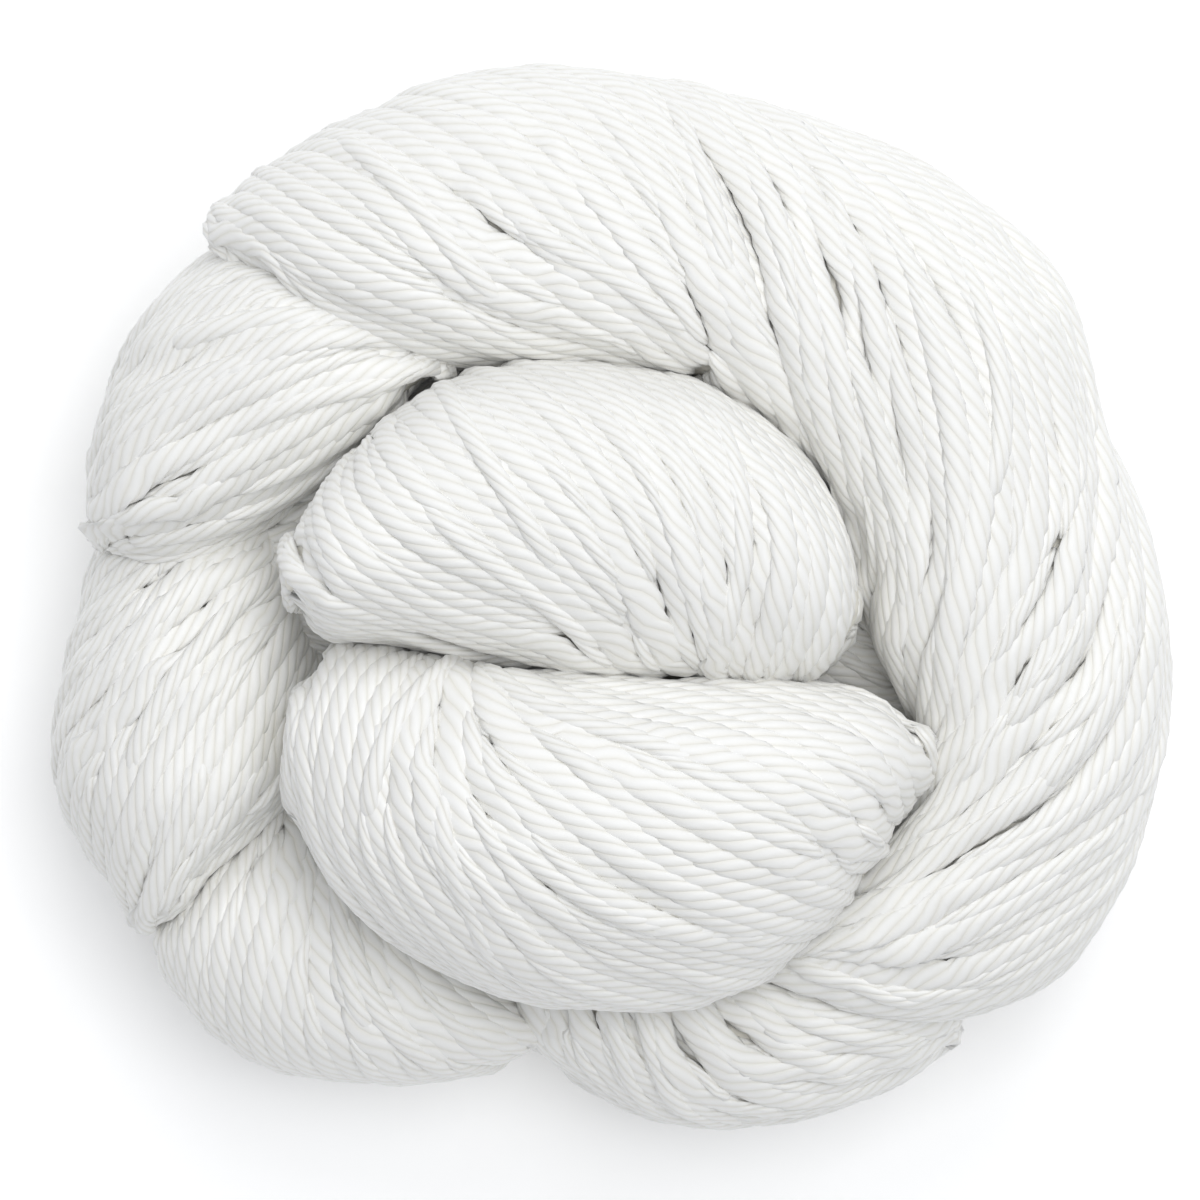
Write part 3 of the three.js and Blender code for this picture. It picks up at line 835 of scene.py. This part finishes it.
def lay(name, number):
    """All strands of one bundle, as (track, width, drop): side by side, in the gaps, and across."""
    points, depth, angle = skins[name], depths[name], angles[name]
    rate = rates(points, angle)
    walks = tracks_from_seeds(points, rate, depth)
    nodes = points.reshape(-1, 3)
    field = np.full(points.shape[:2], FAR)
    top = []
    for shortest in SHORTEST:
        top += choose(points, depth, walks, field, PITCH, CROWDING * PITCH, shortest)
    top, widths = even_out(points, angle, top)
    lines = [at(points, track) for track in top]
    field = np.min([spread(nodes, line) for line in lines], axis=0).reshape(points.shape[:2])
    gaps = choose(points, depth, walks, field, GAP_NEAREST * PITCH, GAP_CROWDING * PITCH,
                  GAP_SHORTEST)
    lines += [at(points, track) for track in gaps]
    halves = [YARN_WIDTH / 2 * width for width in widths]
    halves += [np.full(len(track), YARN_WIDTH / 2) for track in gaps]
    gaps += patches(points, depth, rate, bareness(nodes, lines, halves))
    across = strays(name, points, depth, angle, number)
    strands = ([(track, width, 0.0) for track, width in zip(top, widths)]
               + [(track, np.full(len(track), GAP_WIDTH), GAP_DROP) for track in gaps]
               + [(track, np.ones(len(track)), -STRAY_LIFT) for track in across])
    strands = [steady(points, *strand) for strand in strands]
    return [strand for strand in strands if len(strand[0]) >= FEWEST_POINTS]


laid = {name: lay(name, number) for number, name in enumerate(BUNDLES)}
for name, strands in laid.items():
    length = sum(len(track) for track, _, _ in strands) * STEP * MM
    print(f"{name}: {len(strands)} strands, {length:.2f} m")
print("seconds:", round(time.perf_counter() - started, 1))

# %% [markdown]
# ## One strand of the yarn
# The yarn is six plies twisted together to the left, one turn in 13 mm. It is about 2 mm thick, and
# drawn a little wider and flatter, so that neighbours press into each other. A round pipe with a
# bump would only look like string from afar. So the pipe's section is a clover of six leaves, and
# each ring of points is turned a little against the last one.

# %% Centre lines
SINK = 0.75  # mm: the strand's centre lies this far under the skin
STRAND_LIFT = 0.18  # mm: how much strands differ in height
LIFT_LENGTH = 4.5  # mm
LIFT_SEED = 91
WAVE = 0.1  # mm: how much a strand rises and falls along its way
WAVE_LENGTH = 14.0  # mm
DIVE = 0.8  # mm: an end dips under its neighbours by this much
GAP_DIVE = 0.2  # mm: and by this much where the strand lies deep already
DIVE_LENGTH = 6.0  # mm
FLOOR_PRESS = 1.05  # mm: the lowest centres, pressed on the floor


def centre_line(name, track, drop, seed):
    """Skin point minus its outward direction times (sink + drop + noise + dip at both ends)."""
    points = skins[name]
    place, up = at(points, track), unit(at(slopes(points)[2], track))
    middle = place[len(place) // 2][None]
    lift = (STRAND_LIFT * ripple(middle, LIFT_LENGTH, LIFT_SEED)
            + WAVE * ripple(place, WAVE_LENGTH, seed))
    along = np.arange(len(track)) * STEP
    end_gap = np.minimum(along, along[::-1])
    reach = min(DIVE_LENGTH, along[-1] / 3)
    dip = (DIVE if drop <= 0 else GAP_DIVE) * np.clip(1 - end_gap / reach, 0, 1)**2
    centre = place - up * (SINK + drop + dip - lift)[:, None]
    centre[:, 2] = np.maximum(centre[:, 2], FLOOR_PRESS)
    return centre, up


# %% Twisted pipes
PLY_COUNT = 6
SIDES = 12
FLATNESS = 0.72  # height over width, where the strand has its own width
THINNING = 0.4  # the power of the width by which a wider strand gets flatter
LAY_LENGTH = 13.2  # mm for a whole turn of the plies
LAY_SPREAD = (0.93, 1.07)  # how much that differs from strand to strand
WIDTH_SPREAD = (0.95, 1.05)
FIRST_TURN = (0, 7)  # radians: where the plies start, a little over a whole turn
VALLEY = 0.86  # how far the valley between two plies reaches, as a share of the radius
END_TAPER = 0.6  # the size of the end rings
UV_LENGTH = 100.0  # mm of strand for one unit of the map
ABOVE_FLOOR = 0.02  # mm


def pipe(centre, up, width, rng):
    """Rings of a clover: centre + radius(k) (cos a up flatness / w^0.4 + sin a side w), where w is
    the width in pitches and a = 2 pi k / sides - twist. The twist falls along the strand, which is
    a left-handed lay. The end rings shrink to close."""
    tangent = unit(np.gradient(centre, axis=0))
    side = unit(np.cross(tangent, up))
    level = np.cross(side, tangent)
    gone = np.concatenate([[0], np.cumsum(np.linalg.norm(np.diff(centre, axis=0), axis=1))])
    twist = 2 * math.pi * gone / (LAY_LENGTH * rng.uniform(*LAY_SPREAD)) + rng.uniform(*FIRST_TURN)
    angle = 2 * math.pi * np.arange(SIDES)[None] / SIDES - twist[:, None]
    clover = np.where(np.arange(SIDES) % (SIDES // PLY_COUNT) == 0, VALLEY, 1.0)
    taper = np.ones(len(centre))
    taper[[0, -1]] = END_TAPER
    radius = YARN_WIDTH / 2 * rng.uniform(*WIDTH_SPREAD) * clover[None, :, None]
    radius = radius * taper[:, None, None]
    level = level * FLATNESS / width[:, None]**THINNING
    side = side * width[:, None]
    ring = level[:, None] * np.cos(angle)[..., None] + side[:, None] * np.sin(angle)[..., None]
    return centre[:, None] + ring * radius, gone


def with_poles(rings):
    """All points of the rings, and then the middles of the first and of the last ring."""
    return np.concatenate([rings.reshape(-1, 3), rings[0].mean(0)[None], rings[-1].mean(0)[None]])


def tube_faces(length, around, offset):
    """Quads between the rings of a tube, and a fan from each end ring to its pole."""
    k = np.arange(around)
    turned = (k + 1) % around
    start = np.arange(length - 1)[:, None] * around + offset
    quads = np.stack([start + k, start + turned, start + around + turned, start + around + k], -1)
    pole = offset + length * around
    last = pole - around
    fans = np.concatenate([np.stack([np.full(around, pole), offset + turned, offset + k], -1),
                           np.stack([np.full(around, pole + 1), last + k, last + turned], -1)])
    return quads.reshape(-1, 4), fans


def strand_maps(gone):
    """The (u, v) of every corner of the quads, and of the fans: u round the strand, v along it."""
    k = np.arange(SIDES)
    shape = (len(gone) - 1, SIDES, 4)
    quad_u = np.stack([k, k + 1, k + 1, k], -1) / SIDES
    quad_v = np.stack([gone[:-1], gone[:-1], gone[1:], gone[1:]], -1) / UV_LENGTH
    quads = np.stack([np.broadcast_to(quad_u[None], shape),
                      np.broadcast_to(quad_v[:, None], shape)], -1)
    fan_u = np.stack([k + 0.5, k + 1, k], -1) / SIDES
    fans = np.concatenate([
        np.stack([fan_u, np.zeros((SIDES, 3))], -1),
        np.stack([fan_u[:, [0, 2, 1]], np.full((SIDES, 3), gone[-1] / UV_LENGTH)], -1)])
    return quads.reshape(-1, 2), fans.reshape(-1, 2)


def strands_mesh(name, strands, rng):
    """Points, quads, fans, maps and tones of all strands of a bundle, in arrays for one mesh."""
    parts, count = [], 0
    for track, width, drop in strands:
        centre, up = centre_line(name, track, drop, int(rng.integers(1e6)))
        rings, gone = pipe(centre, up, width, rng)
        places = with_poles(rings)
        tone = np.full(len(places), rng.uniform(-1, 1))
        parts.append((places, *tube_faces(len(rings), SIDES, count), *strand_maps(gone), tone))
        count += len(places)
    places, quads, fans, quad_maps, fan_maps, tones = map(np.concatenate, zip(*parts))
    places[:, 2] = np.maximum(places[:, 2], ABOVE_FLOOR)
    return places, quads, fans, np.concatenate([quad_maps, fan_maps]), tones


# %% A mesh from arrays
def mesh_from(name, places, quads, fans, maps=None, tones=None):
    """A smooth mesh object, in metres, from points in mm, four-sided and three-sided faces."""
    mesh = bpy.data.meshes.new(name)
    mesh.vertices.add(len(places))
    mesh.vertices.foreach_set("co", (places * MM).astype(np.float32).ravel())
    loops = np.concatenate([quads.ravel(), fans.ravel()]).astype(np.int32)
    mesh.loops.add(len(loops))
    mesh.loops.foreach_set("vertex_index", loops)
    sizes = np.concatenate([np.full(len(quads), 4), np.full(len(fans), 3)])
    starts = np.concatenate([[0], np.cumsum(sizes)[:-1]]).astype(np.int32)
    mesh.polygons.add(len(sizes))
    mesh.polygons.foreach_set("loop_start", starts)
    if maps is not None:
        layer = mesh.uv_layers.new(name="along_strand")
        layer.uv.foreach_set("vector", maps.astype(np.float32).ravel())
    if tones is not None:
        tone = mesh.attributes.new("tone", "FLOAT", "POINT")
        tone.data.foreach_set("value", tones.astype(np.float32))
    mesh.update(calc_edges=True)
    mesh.validate()
    mesh.shade_smooth()
    made = bpy.data.objects.new(name, mesh)
    bpy.context.scene.collection.objects.link(made)
    return made


YARN_SEED = 1000
pieces = []
for number, (name, strands) in enumerate(laid.items()):
    arrays = strands_mesh(name, strands, np.random.default_rng(YARN_SEED + number))
    pieces.append(mesh_from(f"yarn_{name}", *arrays))
    print(pieces[-1].name, "triangles:", len(arrays[1]) * 2 + len(arrays[2]))
print("seconds:", round(time.perf_counter() - started, 1))

# %% [markdown]
# ## What lies under the strands
# Between two strands the eye sees more yarn, dark and close. A lofted core under each bundle closes
# those gaps, so that no light comes through, and its colour is painted a little darker and warmer
# as shade.

# %% The core
CORE_INSET = 2.0  # mm under the skin
CORE_LOWEST = 1.0  # mm

parts, count = [], 0
for name, (rows, caps) in BUNDLES.items():
    points = skin(rows, caps, inset=CORE_INSET) + SHIFT
    points = (points - slopes(points)[2] * reliefs[name][..., None])[1:-1:2, ::2]
    points[..., 2] = np.maximum(points[..., 2], CORE_LOWEST)
    faces = tube_faces(*points.shape[:2], count)
    parts.append((with_poles(points), *(corners[:, ::-1] for corners in faces)))
    count += len(parts[-1][0])
places, quads, fans = map(np.concatenate, zip(*parts))
core = mesh_from("yarn_core", places, quads, fans)
pieces.append(core)
print("core triangles:", 2 * len(quads) + len(fans))

# %% [markdown]
# ## Bleached combed cotton
# Cotton yarn is matt fibre with a soft gleam on each ply, because the combed fibres lie side by
# side. It is nearly white, so light bounces about in the crevices and turns warm there, and the
# colour paints that as shade: darker and warmer in the valleys between the plies.

# %% The yarn's material
CREST_POWER = 0.75  # how round the plies are
FIBRE_STRETCH = (7.85, 30.0, 1.0)  # round and along the strand, which makes the noise streaky
FIBRE_HEIGHT = 0.18  # as a share of a ply's
PLY_HEIGHT = 0.16  # mm
DARKEST_STRAND = 0.97


def linear(code):
    """An sRGB hex colour as linear RGBA: c/12.92 below 0.04045, else ((c+0.055)/1.055)^2.4."""
    values = [int(code[k:k + 2], 16) / 255 for k in (1, 3, 5)]
    return [c / 12.92 if c <= 0.04045 else ((c + 0.055) / 1.055)**2.4 for c in values] + [1]


def add(tree, kind, settings=None, **inputs):
    """Adds a node with its settings. An input is a value, or another node's output socket, and is
    named as the socket is, or by its number, as in i2."""
    node = tree.nodes.new(kind)
    for key, value in (settings or {}).items():
        setattr(node, key, value)
    for key, value in inputs.items():
        numbered = key[0] == "i" and key[1:].isdigit()
        socket = node.inputs[int(key[1:]) if numbered else key.replace("_", " ")]
        if isinstance(value, bpy.types.NodeSocket):
            tree.links.new(value, socket)
        else:
            socket.default_value = value
    return node


def maths(tree, operation, *values):
    """The output of a maths node."""
    inputs = {f"i{k}": value for k, value in enumerate(values)}
    return add(tree, "ShaderNodeMath", {"operation": operation}, **inputs).outputs[0]


def blank_material(name):
    """A new material without nodes, and its node tree."""
    material = bpy.data.materials.new(name)
    material.use_nodes = True
    material.node_tree.nodes.clear()
    return material, material.node_tree


def surface(tree, **inputs):
    """The shader at the end of a material."""
    shader = add(tree, "ShaderNodeBsdfPrincipled", **inputs)
    add(tree, "ShaderNodeOutputMaterial", Surface=shader.outputs[0])


def cotton_material():
    """Bleached combed cotton: soft white, with painted shade that makes it darker and warmer between
    the plies, faint fibres.
    """
    material, tree = blank_material("cotton_with_painted_ply_shade")
    place = add(tree, "ShaderNodeUVMap", {"uv_map": "along_strand"})
    parts = add(tree, "ShaderNodeSeparateXYZ", i0=place.outputs[0])
    wave = maths(tree, "SINE", maths(tree, "MULTIPLY", parts.outputs[0], math.pi * PLY_COUNT))
    crest = maths(tree, "POWER", maths(tree, "ABSOLUTE", wave), CREST_POWER)
    stretched = add(tree, "ShaderNodeMapping", Vector=place.outputs[0], Scale=FIBRE_STRETCH)
    fibres = add(tree, "ShaderNodeTexNoise", Vector=stretched.outputs[0], Scale=3.0, Detail=3.0)
    relief = maths(tree, "MULTIPLY_ADD", fibres.outputs[0], FIBRE_HEIGHT, crest)
    bump = add(tree, "ShaderNodeBump", Height=relief, Strength=0.6, Distance=PLY_HEIGHT * MM)
    tone = add(tree, "ShaderNodeAttribute", {"attribute_name": "tone"})
    shade = add(tree, "ShaderNodeMapRange", Value=tone.outputs["Fac"], From_Min=-1.0,
                To_Min=DARKEST_STRAND, To_Max=1.0)
    # painted shade: the colour turns darker and warmer towards the valleys between the plies
    body = add(tree, "ShaderNodeMix", {"data_type": "RGBA"}, i0=crest, i6=linear("#EEECE4"),
               i7=linear("#F7F7F5"))
    toned = add(tree, "ShaderNodeVectorMath", {"operation": "SCALE"}, i0=body.outputs[2],
                i3=shade.outputs[0])
    surface(tree, Base_Color=toned.outputs[0], Normal=bump.outputs[0], Roughness=0.5,
            Sheen_Weight=0.4, Sheen_Roughness=0.4, Specular_IOR_Level=0.4)
    return material


def core_material():
    """The same cotton where only its depths show, painted a little darker and warmer as shade, without
    gleam.
    """
    material, tree = blank_material("deep_cotton_painted_shade")
    place = add(tree, "ShaderNodeTexCoord")
    noise = add(tree, "ShaderNodeTexNoise", Vector=place.outputs["Object"], Scale=400.0)
    # painted shade: both colours are a little darker and warmer than the yarn's, and the noise only
    # varies the tone between them
    body = add(tree, "ShaderNodeMix", {"data_type": "RGBA"}, i0=noise.outputs[0],
               i6=linear("#EDEADF"), i7=linear("#F3F1EA"))
    bump = add(tree, "ShaderNodeBump", Height=noise.outputs[0], Distance=0.6 * MM)
    surface(tree, Base_Color=body.outputs[2], Normal=bump.outputs[0], Roughness=0.8)
    return material


yarn_cotton_painted_shade, core_cotton_painted_shade = cotton_material(), core_material()
for piece in pieces:
    piece.data.materials.append(core_cotton_painted_shade if piece is core else yarn_cotton_painted_shade)
    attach(piece, "root")
    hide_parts("skein")
print(len(pieces), "pieces of", yarn_cotton_painted_shade.name, "and", core_cotton_painted_shade.name)

# %% [markdown]
# ## Floor, light and camera
# A wide white table that glows a little, as a light table does, one soft light behind the top edge
# and a second one overhead, and a long lens straight above.

# %% Floor
TABLE_GLOW = 0.12  # it keeps the shadows on the table pale
TABLE_HALF = 1000.0  # mm


def floor_sheet():
    """A plain square at height 0, two metres wide."""
    corners = np.array([[-1, -1, 0], [1, -1, 0], [1, 1, 0], [-1, 1, 0]]) * TABLE_HALF
    sheet = mesh_from("floor", corners, np.array([[0, 1, 2, 3]]), np.zeros((0, 3), int))
    material, tree = blank_material("white_table")
    surface(tree, Base_Color=linear("#FEFEFE"), Roughness=0.7, Specular_IOR_Level=0.2,
            Emission_Color=linear("#FFFFFF"), Emission_Strength=TABLE_GLOW)
    sheet.data.materials.append(material)
    return sheet


floor_sheet()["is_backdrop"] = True

# %% Light
AIM_HEIGHT = 0.02  # m

world = bpy.data.worlds.new("soft_studio")
bpy.context.scene.world = world
world.use_nodes = True
background = world.node_tree.nodes["Background"]
background.inputs["Color"].default_value = linear("#F6F8FC")
background.inputs["Strength"].default_value = 0.5


def soft_light(name, place, size, watts):
    """A square white area light at a place in metres, aimed at the skein."""
    data = bpy.data.lights.new(name, "AREA")
    data.size = size
    data.energy = watts
    light = bpy.data.objects.new(name, data)
    light.location = place
    aim = -np.array(place) + np.array([0, 0, AIM_HEIGHT])
    pitch = math.acos(-aim[2] / float(np.linalg.norm(aim)))
    light.rotation_euler = (pitch, 0, math.atan2(aim[1], aim[0]) - math.pi / 2)
    bpy.context.scene.collection.objects.link(light)
    return light


for light in (soft_light("key_light", (0.15, 0.85, 1.0), 0.8, 4.5),
              soft_light("overhead_light", (0.3, 0.15, 1.7), 1.0, 11.5)):
    print(light.name, light.data.energy, "W")

# %% Camera
SENSOR = 36  # mm

camera_data = bpy.data.cameras.new("camera")
camera_data.sensor_width = SENSOR
camera_data.lens = SENSOR * VIEW_FROM / (VIEW_SIZE / VIEW_SCALE)
camera_data.clip_start = 0.1
camera_data.clip_end = 10
camera = bpy.data.objects.new("camera", camera_data)
camera.location = (*VIEW_CENTRE * MM, (VIEW_HEIGHT + VIEW_FROM) * MM)
bpy.context.scene.collection.objects.link(camera)
bpy.context.scene.camera = camera
bpy.context.scene.view_settings.view_transform = "Standard"
print("lens:", camera_data.lens, "mm")

# %% Sizes and the end
new_low, new_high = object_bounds()
print("visual box, mm:", [round(x / MM, 1) for x in (*new_low, *new_high)],
      "seconds:", round(time.perf_counter() - started, 1))
